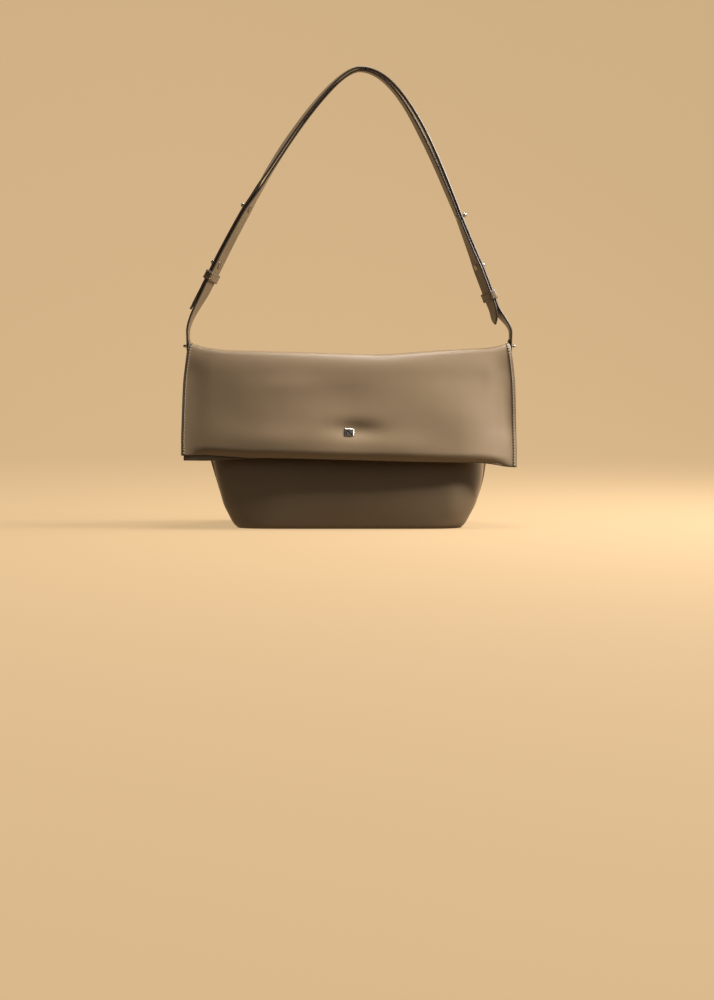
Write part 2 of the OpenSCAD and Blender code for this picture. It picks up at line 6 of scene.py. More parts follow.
import bpy
import numpy as np
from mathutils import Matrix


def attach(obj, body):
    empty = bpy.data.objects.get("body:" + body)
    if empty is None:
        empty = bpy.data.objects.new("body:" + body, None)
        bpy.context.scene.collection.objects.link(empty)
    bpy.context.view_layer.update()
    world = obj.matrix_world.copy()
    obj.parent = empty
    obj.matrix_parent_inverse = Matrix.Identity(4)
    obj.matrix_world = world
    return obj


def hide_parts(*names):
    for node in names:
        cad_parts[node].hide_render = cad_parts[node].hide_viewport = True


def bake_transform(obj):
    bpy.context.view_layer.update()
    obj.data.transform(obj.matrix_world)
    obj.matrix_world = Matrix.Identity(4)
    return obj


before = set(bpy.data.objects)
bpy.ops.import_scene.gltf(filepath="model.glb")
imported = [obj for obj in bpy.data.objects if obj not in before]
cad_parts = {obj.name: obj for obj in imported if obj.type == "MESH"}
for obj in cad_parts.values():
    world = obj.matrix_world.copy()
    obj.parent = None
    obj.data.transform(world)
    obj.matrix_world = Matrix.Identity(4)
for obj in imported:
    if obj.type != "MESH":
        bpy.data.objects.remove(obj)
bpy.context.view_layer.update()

# ---------------------------------------------------------------- pouch walls
# Two leather panels sewn together at the sides. Their section goes from nearly flat at the fold
# to a box at the base, with soft upright corners, and their side edges are sewn flat and painted.
# Smooth, faintly grained satin leather.

LEATHER_TAUPE = (0.330, 0.222, 0.120, 1)
LEATHER_EDGE = (0.060, 0.042, 0.028, 1)


def add_node(nodes, kind, values=None, **settings):
    """A new shader node with its settings, and values for its inputs by name or number."""
    new = nodes.new(kind)
    for name, value in settings.items():
        setattr(new, name, value)
    for name, value in (values or {}).items():
        new.inputs[name].default_value = value
    return new


def new_material(name):
    """A new material, its nodes, the call that joins them, and its Principled shader."""
    material = bpy.data.materials.new(name)
    material.use_nodes = True
    nodes = material.node_tree.nodes
    return material, nodes, material.node_tree.links.new, nodes["Principled BSDF"]


def grain_group():
    """Shader group for smooth leather: small cells with soft valleys between them, a finer pore
    noise, and a slow drift of tone. Puts out a colour, a roughness and a height."""
    group = bpy.data.node_groups.new("leather_grain", "ShaderNodeTree")
    face = group.interface
    for name, kind, value in (
        ("Colour", "NodeSocketColor", LEATHER_TAUPE),
        ("Cells", "NodeSocketFloat", 1500.0),
        ("Drift", "NodeSocketFloat", 0.10),
        ("Roughness", "NodeSocketFloat", 0.46),
    ):
        face.new_socket(name=name, in_out="INPUT", socket_type=kind).default_value = value
    for name, kind in (("Colour", "Color"), ("Roughness", "Float"), ("Height", "Float")):
        face.new_socket(name=name, in_out="OUTPUT", socket_type="NodeSocket" + kind)
    nodes, join = group.nodes, group.links.new
    given, out = nodes.new("NodeGroupInput"), nodes.new("NodeGroupOutput")
    place = nodes.new("ShaderNodeTexCoord")

    cells = add_node(nodes, "ShaderNodeTexVoronoi", {"Smoothness": 0.45}, feature="SMOOTH_F1")
    join(given.outputs["Cells"], cells.inputs["Scale"])
    pores = add_node(nodes, "ShaderNodeTexNoise", {"Scale": 3400, "Detail": 3})
    drift = add_node(nodes, "ShaderNodeTexNoise", {"Scale": 26, "Detail": 4})
    for pattern in (cells, pores, drift):
        join(place.outputs["Object"], pattern.inputs["Vector"])

    height = add_node(nodes, "ShaderNodeMix", {"Factor": 0.35})
    join(cells.outputs["Distance"], height.inputs["A"])
    join(pores.outputs["Fac"], height.inputs["B"])
    join(height.outputs["Result"], out.inputs["Height"])

    # Tone: 1 + Drift * level, where level runs from -1 to 1 over the slow noise, and the pores' specks
    level = add_node(
        nodes, "ShaderNodeMapRange", {"From Min": 0.3, "From Max": 0.7, "To Min": -1, "To Max": 1})
    join(drift.outputs["Fac"], level.inputs["Value"])
    amount = add_node(nodes, "ShaderNodeMath", {2: 1}, operation="MULTIPLY_ADD")
    join(level.outputs["Result"], amount.inputs[0])
    join(given.outputs["Drift"], amount.inputs[1])
    speck = add_node(nodes, "ShaderNodeMath", {1: 0.10, 2: -0.05}, operation="MULTIPLY_ADD")
    join(pores.outputs["Fac"], speck.inputs[0])
    total = nodes.new("ShaderNodeMath")
    join(amount.outputs["Value"], total.inputs[0])
    join(speck.outputs["Value"], total.inputs[1])
    tone = add_node(nodes, "ShaderNodeVectorMath", operation="SCALE")
    join(given.outputs["Colour"], tone.inputs[0])
    join(total.outputs["Value"], tone.inputs["Scale"])
    join(tone.outputs["Vector"], out.inputs["Colour"])

    rough = add_node(nodes, "ShaderNodeMath", {1: 0.12}, operation="MULTIPLY_ADD")
    join(pores.outputs["Fac"], rough.inputs[0])
    join(given.outputs["Roughness"], rough.inputs[2])
    join(rough.outputs["Value"], out.inputs["Roughness"])
    return group


GRAIN = grain_group()


def leather(name, colour, cells, drift, roughness, depth, sheen):
    """Satin leather: the grain group drives colour, roughness and a shallow bump of depth metres."""
    material, nodes, join, skin = new_material(name)
    grain = add_node(nodes, "ShaderNodeGroup", node_tree=GRAIN)
    for socket, value in (("Colour", colour), ("Cells", cells), ("Drift", drift), ("Roughness", roughness)):
        grain.inputs[socket].default_value = value
    bump = add_node(nodes, "ShaderNodeBump", {"Strength": 0.55, "Distance": depth})
    join(grain.outputs["Colour"], skin.inputs["Base Color"])
    join(grain.outputs["Roughness"], skin.inputs["Roughness"])
    join(grain.outputs["Height"], bump.inputs["Height"])
    join(bump.outputs["Normal"], skin.inputs["Normal"])
    skin.inputs["IOR"].default_value = 1.58
    skin.inputs["Sheen Weight"].default_value = sheen
    skin.inputs["Sheen Roughness"].default_value = 0.4
    return material


BODY_LEATHER = leather("body_leather", LEATHER_TAUPE, 1500.0, 0.04, 0.38, 0.00006, 0.05)
EDGE_PAINT = leather("edge_paint", LEATHER_EDGE, 900.0, 0.06, 0.30, 0.00003, 0.0)

POUCH_W, BASE_W, BASE_D = 330.0, 248.0, 100.0
FOLD_Z, SIDE_EDGE, FOOT_ROUND, BASE_T = 166.0, 21.0, 2.5, 2.0
LEATHER_T, LINING_T, SEAM_W, SEAM_FOOT_W = 1.4, 0.6, 4.0, 1.5
FOLD_GAP, NECK_GAP = 6.0, 6.2
CORNER_X, CORNER_DRAW, TOE_DRAW, TOE_SAG = 60.0, 4.5, 2.2, 1.4
RIGHT_FULL, RIGHT_TUCK = 1.2, 2.6
SNAP_Z = 97.0
WALL_H = LEATHER_T + NECK_GAP / 2
FOLD_R = FOLD_GAP / 2 + WALL_H


def ease(x):
    """Smooth step from 0 to 1."""
    x = np.clip(x, 0, 1)
    return x * x * (3 - 2 * x)


def hump(x, middle, width):
    """Bell of height 1 round middle."""
    return np.exp(-(((x - middle) / width) ** 2))


def pouch_half(w):
    """Half width of the pouch with its seam edges, w below the fold line: even along the tabs, then
    narrower by 0.3*u + 0.7*u^1.15 of the whole, with u the share of the way down."""
    u = np.maximum(0, w - SIDE_EDGE) / (FOLD_Z - SIDE_EDGE)
    return POUCH_W / 2 + (BASE_W - POUCH_W) / 2 * (0.3 * u + 0.7 * u**1.15)


def pouch_depth(w):
    """Half depth of the pouch, a quarter sine from the neck to the base."""
    return WALL_H + (BASE_D / 2 - WALL_H) * np.sin(np.pi / 2 * np.clip(w / FOLD_Z, 0, 1)) ** 1.2


def seam_y(w):
    """The side seam lies behind the middle at the fold and over it at the base, along a parabola."""
    return FOLD_R * (1 - (w / FOLD_Z) ** 2)


def seam_width(w):
    """Width of the sewn rim, which narrows smoothly halfway down."""
    return SEAM_W + (SEAM_FOOT_W - SEAM_W) * ease((w / FOLD_Z - 0.4) / 0.4)


def wall_section(half, depth, power, rim, across, rim_steps=3, soft=None):
    """Rows of points across a wall: a superellipse |x/half|^power + |d/depth|^power = 1 walked in
    nearly equal steps of length, closer at its two ends, with a flat sewn rim outside each end.
    half, depth, power, rim and soft are one value a row; soft 1 lets the leather rise from the rim
    as (1 - |x/half|^5)^2 instead. Returns x and distance from the seam plane."""
    turn = np.linspace(0, np.pi, 1441)
    c, s = np.cos(turn), np.sin(turn)
    x = -np.sign(c) * np.abs(c) ** (2 / power[:, None]) * half[:, None]
    full = np.abs(s) ** (2 / power[:, None])
    if soft is not None:
        full += soft[:, None] * (np.maximum(0, 1 - np.abs(x / half[:, None]) ** 5) ** 2 - full)
    d = LEATHER_T + (depth[:, None] - LEATHER_T) * full
    steps = np.hypot(np.diff(x), np.diff(d))
    run = np.concatenate([np.zeros((len(half), 1)), np.cumsum(steps, axis=1)], axis=1)
    run /= run[:, -1:]
    t = np.linspace(0, 1, across)
    want = 0.45 * t + 0.55 * (0.5 - 0.5 * np.cos(np.pi * t))
    x = np.array([np.interp(want, r, row) for r, row in zip(run, x)])
    d = np.array([np.interp(want, r, row) for r, row in zip(run, d)])
    out = np.linspace(1, 0, rim_steps + 1)[:-1] * rim[:, None]
    flat = np.full_like(out, LEATHER_T)
    x = np.concatenate([-half[:, None] - out, x, half[:, None] + out[:, ::-1]], axis=1)
    d = np.concatenate([flat, d, flat], axis=1)
    return x, d


def grid_normals(p, flip=False):
    """Unit normals of a grid of points, from the cross product of its two directions. They point
    out of the bag for rows that run up its back or down its front, and the other way with flip."""
    du, dv = np.gradient(p, axis=1), np.gradient(p, axis=0)
    n = np.cross(dv, du) * (-1 if flip else 1)
    return n / np.maximum(np.linalg.norm(n, axis=2, keepdims=True), 1e-9)


def unit(v):
    """Vectors of length 1."""
    return v / np.maximum(np.linalg.norm(v, axis=-1, keepdims=True), 1e-9)


def mesh_piece(name, points, faces, materials, index=None):
    """Smooth-shaded object from points in mm, faces, and each face's material number."""
    mesh = bpy.data.meshes.new(name)
    mesh.from_pydata((points * 0.001).tolist(), [], faces)
    for material in materials:
        mesh.materials.append(material)
    if index is not None:
        mesh.polygons.foreach_set("material_index", np.array(index, np.int32))
    mesh.polygons.foreach_set("use_smooth", np.ones(len(mesh.polygons), bool))
    mesh.update()
    piece = bpy.data.objects.new(name, mesh)
    bpy.context.scene.collection.objects.link(piece)
    return piece


def sheet_mesh(name, outer, thick, materials, flip=False, round_steps=3):
    """Closed sheet under a grid of outer points. The rim all round is a half circle: rows and
    columns are added outside the grid whose reach is thick/2*sin and whose half thickness is
    thick/2*cos, until the two faces meet. materials are those of the face and of the rim."""
    normal = grid_normals(outer, flip)
    middle = outer - normal * thick / 2
    half = np.full(outer.shape[:2] + (1,), thick / 2)
    for axis in (0, 1):
        turns = np.linspace(0, np.pi / 2, round_steps + 1)[1:]
        take = lambda a, i: np.take(a, [i], axis=axis)
        grown = [middle], [half], [normal]
        for end, near in ((0, 1), (-1, -2)):
            away = unit(take(middle, end) - take(middle, near))
            reach = [take(middle, end) + away * np.sin(a) * take(half, end) for a in turns]
            thin = [take(half, end) * max(np.cos(a), 0.0) for a in turns]
            same = [take(normal, end)] * round_steps
            for pieces, more in zip(grown, (reach, thin, same)):
                pieces[:] = more[::-1] + pieces if end == 0 else pieces + more
        middle, half, normal = (np.concatenate(pieces, axis=axis) for pieces in grown)
    top, back = middle + normal * half, middle - normal * half
    rows, cols = top.shape[:2]
    ids = np.arange(rows * cols).reshape(rows, cols)
    inside = np.zeros((rows, cols), bool)
    inside[1:-1, 1:-1] = True
    low = ids.copy()
    low[inside] = rows * cols + np.arange(inside.sum())
    points = np.concatenate([top.reshape(-1, 3), back[inside]])

    def quads(k):
        return np.stack([k[:-1, :-1], k[1:, :-1], k[1:, 1:], k[:-1, 1:]], axis=2).reshape(-1, 4)

    upper, lower = quads(ids), quads(low)[:, ::-1]
    if flip:
        upper, lower = upper[:, ::-1], lower[:, ::-1]
    rim = np.zeros((rows - 1, cols - 1), int)
    rim[:round_steps] = rim[-round_steps:] = 1
    rim[:, :round_steps] = rim[:, -round_steps:] = 1
    faces = np.concatenate([upper, lower]).tolist()
    return mesh_piece(name, points, faces, materials, np.tile(rim.ravel(), 2))


ACROSS = 150


def body_rows(count=64):
    """Drops below the fold line for the rows of a pouch wall, closer at the foot's rounding."""
    deep = FOLD_Z - BASE_T
    return np.concatenate([
        np.linspace(0, deep - FOOT_ROUND, count),
        deep - FOOT_ROUND * (1 - np.sin(np.linspace(0, np.pi / 2, 6)[1:])),
    ])


def wall_power(w):
    """Power of the wall's superellipse: 4 at the fold and 7 at the base, which is squarer."""
    return 4 + 3 * (w / FOLD_Z) ** 3


def draw_corners(x, draw):
    """Moves x towards the middle by draw, in full from twice CORNER_X and not at all within it."""
    return x - draw * ease((x - CORNER_X) / CORNER_X) + draw * ease((-x - CORNER_X) / CORNER_X)


def body_wall(side, w):
    """Grid of a pouch wall's outer surface. side is 1 for the back and -1 for the front. The foot
    rounds in, its corners are drawn in, and the right side is tucked in below the flap."""
    h = np.maximum(0, FOLD_Z - BASE_T - w)
    quarter = FOOT_ROUND - np.sqrt(np.maximum(FOOT_ROUND**2 - (FOOT_ROUND - h) ** 2, 0))
    inset = np.where(h < FOOT_ROUND, quarter, 0)
    rim = seam_width(w)
    half, depth, soft = pouch_half(w) - rim - inset, pouch_depth(w) - inset, 1 - ease(w / 80)
    x, d = wall_section(half, depth, wall_power(w), rim, ACROSS, soft=soft)
    y = seam_y(w)[:, None] + side * d
    z = np.broadcast_to(FOLD_Z - w[:, None], x.shape)
    x = x + ease(x / 130) * (RIGHT_FULL * hump(z, 42, 24) - RIGHT_TUCK * hump(z, 74, 20))
    x = draw_corners(x, CORNER_DRAW * (1 - ease(z / 26)) + TOE_DRAW * (1 - ease(z / 9)))
    z = z - TOE_SAG * (1 - ease(z / 14))
    return np.stack([x, y, z], axis=2)


# Slack of the front panel: rise in mm, its middle and width along x, its middle and width in z
FRONT_SWELLS = [
    (1.8, 20, 80, 34, 20),  # full lower half
    (-1.5, 0, 90, 78, 22),  # hollow under the flap
    (-0.7, -96, 12, 30, 26),  # upright fold at the left
    (1.0, 104, 12, 36, 26),  # full corner at the right
]


def swells(table, x, z):
    """Sum of the humps of a table at x and z."""
    return sum(rise * hump(x, at, wide) * hump(z, height, tall) for rise, at, wide, height, tall in table)


def settle_front(p):
    """The front panel's slack, faded out at the fold, at the foot and round the snap."""
    x, z = p[..., 0], p[..., 2]
    fade = ease((FOLD_Z - z) / 40) * ease((z - BASE_T) / 14) * (1 - hump(np.hypot(x, z - SNAP_Z), 0, 16))
    p = p.copy()
    p[..., 1] -= swells(FRONT_SWELLS, x, z) * fade
    return p


front = settle_front(body_wall(-1, body_rows()))
front_wall = sheet_mesh("pouch_front_wall", front, LEATHER_T, [BODY_LEATHER, EDGE_PAINT])
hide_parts("front_panel")
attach(front_wall, "pouch")

# ---------------------------------------------------------------- base
# The bag stands on a stiff leather panel whose painted edge shows as a thin dark line. The walls
# turn in over its rim. A board lies on the panel, with a woven lining on it.


def lining_cloth(name, colour):
    """Plain woven lining: two crossed waves of thread with a little unevenness."""
    material, nodes, join, skin = new_material(name)
    place = nodes.new("ShaderNodeTexCoord")
    weave = add_node(nodes, "ShaderNodeMath", operation="MAXIMUM")
    for number, direction in enumerate("XZ"):
        wave = add_node(
            nodes, "ShaderNodeTexWave", {"Scale": 420, "Distortion": 0.6, "Detail": 1},
            bands_direction=direction)
        join(place.outputs["Object"], wave.inputs["Vector"])
        join(wave.outputs["Fac"], weave.inputs[number])
    dark = tuple(0.62 * c for c in colour[:3]) + (1,)
    tint = add_node(nodes, "ShaderNodeMix", {"A": dark, "B": colour}, data_type="RGBA")
    join(weave.outputs["Value"], tint.inputs["Factor"])
    join(tint.outputs["Result"], skin.inputs["Base Color"])
    bump = add_node(nodes, "ShaderNodeBump", {"Strength": 0.5, "Distance": 0.0001})
    join(weave.outputs["Value"], bump.inputs["Height"])
    join(bump.outputs["Normal"], skin.inputs["Normal"])
    skin.inputs["Roughness"].default_value = 0.85
    skin.inputs["Sheen Weight"].default_value = 0.25
    return material


LINING = lining_cloth("lining_cloth", (0.135, 0.105, 0.078, 1))
BOARD = leather("base_board", (0.11, 0.09, 0.07, 1), 500.0, 0.15, 0.75, 0.00005, 0.0)
PANEL_DRAW = 6.2


def foot_outline(inset):
    """Outline of the pouch's foot, walked anticlockwise and drawn in by inset."""
    w = np.array([FOLD_Z - BASE_T])
    x, d = wall_section(pouch_half(w) - inset, pouch_depth(w) - inset, wall_power(w), np.zeros(1), 90, 0)
    x, d = draw_corners(x[0], PANEL_DRAW), d[0]
    return np.concatenate([np.stack([x, -d], axis=1), np.stack([x, d], axis=1)[::-1]])


def band_faces(rings, count, closed=False):
    """Quads between rings of count points each, that follow each other or close on themselves."""
    pairs = [(k, (k + 1) % rings) for k in range(rings if closed else rings - 1)]
    return [(count * a + i, count * a + (i + 1) % count, count * b + (i + 1) % count, count * b + i)
            for a, b in pairs for i in range(count)]


def stack(outline, levels):
    """Solid from one outline drawn in by an inset at each height: levels are (inset, height)."""
    ahead = unit(np.roll(outline, -1, axis=0) - np.roll(outline, 1, axis=0))
    inward = np.stack([-ahead[:, 1], ahead[:, 0]], axis=1)
    n, last = len(outline), len(outline) * (len(levels) - 1)
    rings = [np.column_stack([outline + inward * inset, np.full(n, height)]) for inset, height in levels]
    ends = [tuple(range(n - 1, -1, -1)), tuple(range(last, last + n))]
    return np.concatenate(rings), band_faces(len(levels), n) + ends


def solid_piece(name, parts, materials):
    """One mesh from parts of (points in mm, faces, material number), with edges sharp past 35 degrees."""
    points, faces, index = [], [], []
    for part_points, part_faces, number in parts:
        start = sum(len(p) for p in points)
        points.append(part_points)
        faces.extend([tuple(int(start + k) for k in f) for f in part_faces])
        index.extend([number] * len(part_faces) if np.isscalar(number) else list(number))
    piece = mesh_piece(name, np.concatenate(points), faces, materials, index)
    piece.data.set_sharp_from_angle(angle=np.radians(35.0))
    return piece


for name, node, material, slot, inset, levels in (
    ("pouch_base_panel", "base_panel", EDGE_PAINT, "body_leather", 2.6,
     [(0.5, 0), (0.12, 0.15), (0, 0.4), (0, 0.55), (1.8, 0.6), (1.8, 1.99)]),
    ("pouch_base_board", "base_board", BOARD, "board", 3.1, [(0.2, 2.0), (0, 2.2), (0, 3.8), (0.2, 3.99)]),
    ("pouch_base_lining", "base_lining", LINING, "lining", 3.1, [(0, 4.0), (0, 4.45), (0.2, 4.6)]),
):
    layer = solid_piece(name, [stack(foot_outline(inset), levels) + (0,)], [material])
    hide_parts(node)
    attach(layer, "pouch")

# ---------------------------------------------------------------- flap and fold
# The walls carry on over the fold and hang down in front as the flap, so one leather runs from
# the back's foot over the fold to the flap's hem, and another from the fold's inside down the
# flap's back. The hem rolls in a little, the corners at the fold stand up as ears, and the snap
# pulls a dimple over the badge.

FLAP_W, FLAP_DROP, INNER_DROP, FOLD_FLARE = 340.5, 92.0, 5.5, 2.6
FLAP_LEAN, FLAP_SWELL, FLAP_WRAP = 23.97, 3.0, 5.0
HEM_ROLL, HEM_ROUND, FLARE_TURN = 3.6, 9.0, 1.5


def flap_half(w):
    """Half width of the flap with its seam edges: wider as 1 - exp(-w/9), a little less at the hem."""
    top = POUCH_W / 2 + FOLD_FLARE
    return top + (FLAP_W / 2 - top) * (1 - np.exp(-w / 9)) - 0.6 * ease((w - 70) / 25)


def flap_middle(w):
    """Place of the flap's middle plane in front of the pouch's: FLAP_LEAN sets in as w^2/(w + 10)."""
    return -FOLD_R - np.tan(np.radians(FLAP_LEAN)) * w * w / (w + 10)


# Height of the fold's crown over the fold line along the bag: slack in the middle, ears at the ends
CROWN_X = [-170, -163, -155, -128, -40, 10, 34, 50, 95, 145, 157, 166, 172]
CROWN_H = [23.0, 23.2, 18.9, 15.4, 13.1, 11.7, 11.0, 12.0, 15.2, 17.7, 20.0, 23.2, 23.0]


def crown(x):
    """Crown height at x: the points of CROWN_H joined by straight lines and averaged over 14 mm."""
    steps = np.linspace(-7, 7, 9)
    return np.mean([np.interp(x + s, CROWN_X, CROWN_H) for s in steps], axis=0)


def flap_section(half, depth):
    """Section of the flap and the fold: soft all over, with rims of one width."""
    like = np.ones(len(half))
    return wall_section(half, depth, 4.0 * like, SEAM_W * like, ACROSS, soft=like)


def fold_strip(side, turns):
    """Grid of the fold's outer (side 1) or inner (side -1) leather, turn by turn from back to front:
    a half circle of radius FOLD_R + side*d whose top is raised to the crown."""
    half = POUCH_W / 2 - SEAM_W + FOLD_FLARE * ease((turns - FLARE_TURN) / (np.pi - FLARE_TURN))
    x, d = flap_section(half, np.full(len(turns), WALL_H))
    r = FOLD_R + side * d
    rise = (r + crown(x) - FOLD_R - d) * np.sin(turns)[:, None]
    return np.stack([x, r * np.cos(turns)[:, None], FOLD_Z + rise], axis=2)


def bridge(before, after, rows):
    """Cubic Hermite rows between two pairs of rows, p = h00*a + h10*D*ta + h01*b + h11*D*tb with the
    chord D, so that the leather leaves the fold on a slant with no crease."""
    a, b = before[1], after[0]
    chord = np.linalg.norm(b - a, axis=1, keepdims=True)
    ta, tb = unit(before[1] - before[0]) * chord, unit(after[1] - after[0]) * chord
    t = np.linspace(0, 1, rows + 2)[1:-1, None, None]
    return ((2 * t**3 - 3 * t**2 + 1) * a + (t**3 - 2 * t**2 + t) * ta
            + (3 * t**2 - 2 * t**3) * b + (t**3 - t**2) * tb)


def flap_leaf(side, w):
    """Grid of the flap's outer (side 1) or inner (side -1) leather, from the fold line down. The
    outer one swells and stands a little ahead."""
    half = flap_half(w) - SEAM_W
    outer = float(side > 0)
    down = w / FLAP_DROP
    x, d = flap_section(half, WALL_H + outer * FLAP_SWELL * np.sin(np.radians(140) * np.minimum(1, down)))
    bend = (FLAP_WRAP * down)[:, None] * (x / half[:, None]) ** 2
    ahead = outer * (1.3 + 2.6 * w / (w + 9)) * (1 - 0.55 * down)
    y = (flap_middle(w) - ahead)[:, None] + bend - side * d
    z = np.broadcast_to(FOLD_Z - w[:, None], x.shape)
    return np.stack([x, y, z], axis=2)


# Slack of the flap's outer leather: rise in mm, its middle and width along x, its middle and width in z
FLAP_SWELLS = [
    (-3.2, 6, 25, 104, 9),  # dimple over the badge
    (-1.6, -8, 34, 132, 18),  # hollow above the dimple
    (1.9, 112, 44, 120, 26),  # full right part
    (1.4, -74, 52, 92, 13),  # ridges at both sides of the badge
    (1.4, 54, 36, 88, 13),
    (-1.0, -128, 26, 120, 24),  # slack left end
    (0.8, -60, 34, 148, 12),  # shoulder under the fold
]


def settle_flap(p, outer):
    """The flap's slack, shared by its two leaves: it hangs lower and wraps further back to the right.
    The outer leaf has the dimple, the soft swells and the hem that rolls in, and the inner leaf
    narrows at the corners of its hem."""
    x, z = p[..., 0], p[..., 2]
    w = FOLD_Z - z
    down = ease(w / 60)
    p = p.copy()
    hang = down * (2.0 * ease((x + 150) / 60) + 4.6 * ease((x + 100) / 230)
                   + 4.6 * ease((x - 128) / 44) - 0.8 * ease((-x - 90) / 80))
    p[..., 1] += 3.4 * down * ease((x - 112) / 56)
    if outer:
        inside = 166 - np.abs(x)
        p[..., 1] -= swells(FLAP_SWELLS, x, z) * ease(inside / 12) * ease(w / 25)
        p[..., 1] -= 1.9 * (1 - w / FLAP_DROP) * ease(inside / 26)
        from_hem = np.clip((w - FLAP_DROP + HEM_ROUND) / HEM_ROUND, 0, 1)
        p[..., 1] += HEM_ROLL * from_hem**2 * ease((inside + 3) / 26)
        p[..., 2] -= hang
    else:
        narrow = ease((w - FLAP_DROP + 8) / 8)
        p[..., 0] -= np.sign(x) * 2.4 * narrow * ease((np.abs(x) - 150) / 12)
        p[..., 2] -= hang - 5.0 * ease((x + 150) / 60) * ease((w - 60) / 30)
    return p


TURNS = np.linspace(0, np.pi, 25)
body_up = body_rows()[::-1]
outer_w = np.linspace(9, FLAP_DROP, 50)
inner_w = np.linspace(0, FLAP_DROP + INNER_DROP, 52)

over_fold = fold_strip(1, TURNS[:20])
flap_front = settle_flap(flap_leaf(1, outer_w), True)
outer_skin = np.concatenate([
    body_wall(1, body_up),
    over_fold[1:],
    bridge(over_fold[-2:], flap_front[:2], 8),
    flap_front,
])
back_and_flap = sheet_mesh("back_and_flap_leather", outer_skin, LEATHER_T, [BODY_LEATHER, EDGE_PAINT])
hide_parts("back_panel", "fold_outer", "flap_outer")
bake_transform(back_and_flap)

inner_skin = np.concatenate([fold_strip(-1, TURNS)[:-1], settle_flap(flap_leaf(-1, inner_w), False)])
flap_back = sheet_mesh("flap_back_leather", inner_skin, LEATHER_T, [BODY_LEATHER, EDGE_PAINT], flip=True)
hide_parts("fold_inner", "flap_inner")
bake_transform(flap_back)

# ---------------------------------------------------------------- linings
# The same woven lining lies under each leather and stops short of the sewn edges and of the hems.
# It shows in the mouth at the flap's hem.

LINING_GAP = 0.02


def under_skin(skin, flip, rows):
    """Grid just under a leather's inner face, without the sewn rims: skin - normal*(1.4 + 0.02)."""
    normal = grid_normals(skin, flip)
    return (skin - normal * (LEATHER_T + LINING_GAP))[rows, 9:-9:2]


def lining_sheet(name, skin, rows, flip=False):
    """Lining under some rows of a skin, cloth on both faces and at the rim."""
    return sheet_mesh(name, under_skin(skin, flip, rows), LINING_T, [LINING] * 2, flip, round_steps=1)


front_lining = lining_sheet("pouch_front_lining", front, slice(0, -7))
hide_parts("front_lining")
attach(front_lining, "pouch")
outer_lining = lining_sheet("back_and_flap_lining", outer_skin, slice(7, -2))
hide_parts("back_lining", "fold_lining", "flap_lining")
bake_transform(outer_lining)
inner_lining = lining_sheet("flap_back_lining", inner_skin, slice(0, -2), flip=True)
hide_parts("fold_lining", "flap_lining")
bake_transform(inner_lining)

# ---------------------------------------------------------------- side stitching
# The two leathers are sewn together near their side edges with a stout tone-on-tone thread: short
# slanted stitches whose two ends are coloured near-black, painted shade for the needle holes they
# dip into.


def plain(name, colour, roughness, metallic=0.0, scale=900.0, vary=0.12):
    """Small-part finish: a noise varies the tone and the roughness."""
    material, nodes, join, skin = new_material(name)
    place = nodes.new("ShaderNodeTexCoord")
    noise = add_node(nodes, "ShaderNodeTexNoise", {"Scale": scale, "Detail": 4})
    join(place.outputs["Object"], noise.inputs["Vector"])
    dark = tuple((1 - vary) * c for c in colour) + (1,)
    light = tuple((1 + vary) * c for c in colour) + (1,)
    tint = add_node(nodes, "ShaderNodeMix", {"A": dark, "B": light}, data_type="RGBA")
    join(noise.outputs["Fac"], tint.inputs["Factor"])
    join(tint.outputs["Result"], skin.inputs["Base Color"])
    rough = add_node(nodes, "ShaderNodeMapRange", {"To Min": roughness * 0.75, "To Max": roughness * 1.25})
    join(noise.outputs["Fac"], rough.inputs["Value"])
    join(rough.outputs["Result"], skin.inputs["Roughness"])
    skin.inputs["Metallic"].default_value = metallic
    return material


THREAD = plain("thread", (0.56, 0.44, 0.30), 0.6, scale=2600.0, vary=0.25)
# Near-black painted shade for the needle holes, put on the two ends of each stitch
NEEDLE_HOLE_SHADE = plain("painted_hole_shade", (0.020, 0.014, 0.010), 0.8)


def seam_stitches(line, normal, pitch, length, radius, slant):
    """Stitches along a line of points: every pitch a thread bowed as 0.9*radius*(1 - t^2) over the
    leather, its two end rings coloured near-black as painted shade of the needle holes. Returns
    points, faces and material numbers."""
    run = np.concatenate([[0], np.cumsum(np.linalg.norm(np.diff(line, axis=0), axis=1))])

    def along(where, values):
        return np.stack([np.interp(where, run, values[:, k]) for k in range(3)], axis=1)

    at = np.arange(run[-1] - 0.6 * pitch, pitch / 2, -pitch)[::-1]
    spot, out = along(at, line), unit(along(at, normal))
    ahead = unit(along(at + 0.5, line) - spot)
    side = unit(np.cross(out, ahead))
    c, s = np.cos(np.radians(slant)), np.sin(np.radians(slant))
    ahead, side = ahead * c + side * s, side * c - ahead * s
    rings, sides = 7, 8
    t = np.linspace(-1, 1, rings)
    a = np.linspace(0, 2 * np.pi, sides + 1)[:-1]
    u = np.repeat(t * length / 2, sides)
    girth = np.repeat(radius * (1 + 0.45 * t**4), sides)
    v = girth * np.tile(np.cos(a), rings)
    h = np.repeat(radius * (0.9 - 0.9 * t**2), sides) + girth * np.tile(np.sin(a), rings)
    moves = (u, ahead), (v, side), (h, out)
    points = spot[:, None] + sum(k[None, :, None] * axis[:, None] for k, axis in moves)
    ends = [tuple(range(sides))[::-1], tuple(range(sides * (rings - 1), sides * rings))]
    one = band_faces(rings, sides) + ends
    faces = [tuple(sides * rings * k + i for i in f) for k in range(len(spot)) for f in one]
    # The end rings of each stitch take the near-black painted shade of the needle hole
    hole_shade = [1] * sides
    tone = hole_shade + [0] * (sides * (rings - 3)) + hole_shade + [1, 1]
    return points.reshape(-1, 3), faces, tone * len(spot)


